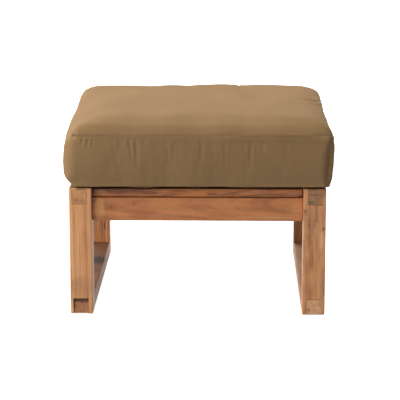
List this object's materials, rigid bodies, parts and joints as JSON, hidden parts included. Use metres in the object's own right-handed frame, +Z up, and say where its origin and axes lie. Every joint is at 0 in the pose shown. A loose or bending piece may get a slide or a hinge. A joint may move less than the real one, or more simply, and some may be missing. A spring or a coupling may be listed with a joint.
{
  "type": "outdoor ottoman footstool",
  "caption": "Square teak footstool with closed sled side frames, open mortise corners, a slatted deck and a loose crowned box cushion with a zip.",
  "frame": {"origin": "on the ground under the middle of the footstool", "axes": "+Z up; -Y the front with the apron that the picture shows; +X to the sitter's right in the picture"},
  "size_m": [0.6432, 0.6339, 0.4781],
  "materials": {
    "teak_light": "satin",
    "teak_dark": "satin",
    "teak_slat": "satin",
    "dowel_wood": "matte",
    "brass_screw": "satin",
    "steel_fitting": "satin",
    "nylon_glide": "matte",
    "khaki_fabric": "matte",
    "foam_core": "matte",
    "zip_fabric": "matte",
    "zip_coil": "satin",
    "brass_zip": "satin"
  },
  "bodies": {
    "frame": {"left_top_rail": "teak_light", "left_runner": "teak_light", "right_top_rail": "teak_light", "right_runner": "teak_light", "front_left_post": "teak_light", "front_right_post": "teak_light", "back_left_post": "teak_light", "back_right_post": "teak_light", "front_apron": "teak_dark", "back_apron": "teak_dark", "left_bearer": "teak_dark", "centre_bearer": "teak_dark", "right_bearer": "teak_dark", "slat_1": "teak_slat", "slat_2": "teak_slat", "slat_3": "teak_slat", "slat_4": "teak_slat", "slat_5": "teak_slat", "slat_6": "teak_slat", "slat_7": "teak_slat", "slat_screw_1_left": "brass_screw", "slat_screw_1_right": "brass_screw", "slat_screw_2_left": "brass_screw", "slat_screw_2_right": "brass_screw", "slat_screw_3_left": "brass_screw", "slat_screw_3_right": "brass_screw", "slat_screw_4_left": "brass_screw", "slat_screw_4_right": "brass_screw", "slat_screw_5_left": "brass_screw", "slat_screw_5_right": "brass_screw", "slat_screw_6_left": "brass_screw", "slat_screw_6_right": "brass_screw", "slat_screw_7_left": "brass_screw", "slat_screw_7_right": "brass_screw", "apron_bolt_front_left": "steel_fitting", "barrel_nut_front_left": "steel_fitting", "apron_dowel_front_left": "dowel_wood", "glide_front_left": "nylon_glide", "apron_bolt_front_right": "steel_fitting", "barrel_nut_front_right": "steel_fitting", "apron_dowel_front_right": "dowel_wood", "glide_front_right": "nylon_glide", "apron_bolt_back_left": "steel_fitting", "barrel_nut_back_left": "steel_fitting", "apron_dowel_back_left": "dowel_wood", "glide_back_left": "nylon_glide", "apron_bolt_back_right": "steel_fitting", "barrel_nut_back_right": "steel_fitting", "apron_dowel_back_right": "dowel_wood", "glide_back_right": "nylon_glide"},
    "cushion": {"cushion_foam": "foam_core", "cushion_cover": "khaki_fabric", "zip_tape_upper": "zip_fabric", "zip_tape_lower": "zip_fabric", "zip_chain": "zip_coil"},
    "zip_slider_body": {"zip_slider": "brass_zip"},
    "zip_pull_body": {"zip_pull": "brass_zip"}
  },
  "joints": [
    {"name": "cushion_lift", "type": "slide", "parent": "frame", "child": "cushion", "axis": [0, 0, 1], "range_m": [0, 0.25]},
    {"name": "zip_slide", "type": "slide", "parent": "cushion", "child": "zip_slider_body", "axis": [-1, 0, 0], "range_m": [0, 0.462]},
    {"name": "zip_pull_flip", "type": "hinge", "parent": "zip_slider_body", "child": "zip_pull_body", "pos_m": [0.231, 0.3177, 0.3786], "axis": [0, 0, -1], "range_deg": [0, 180]}
  ]
}
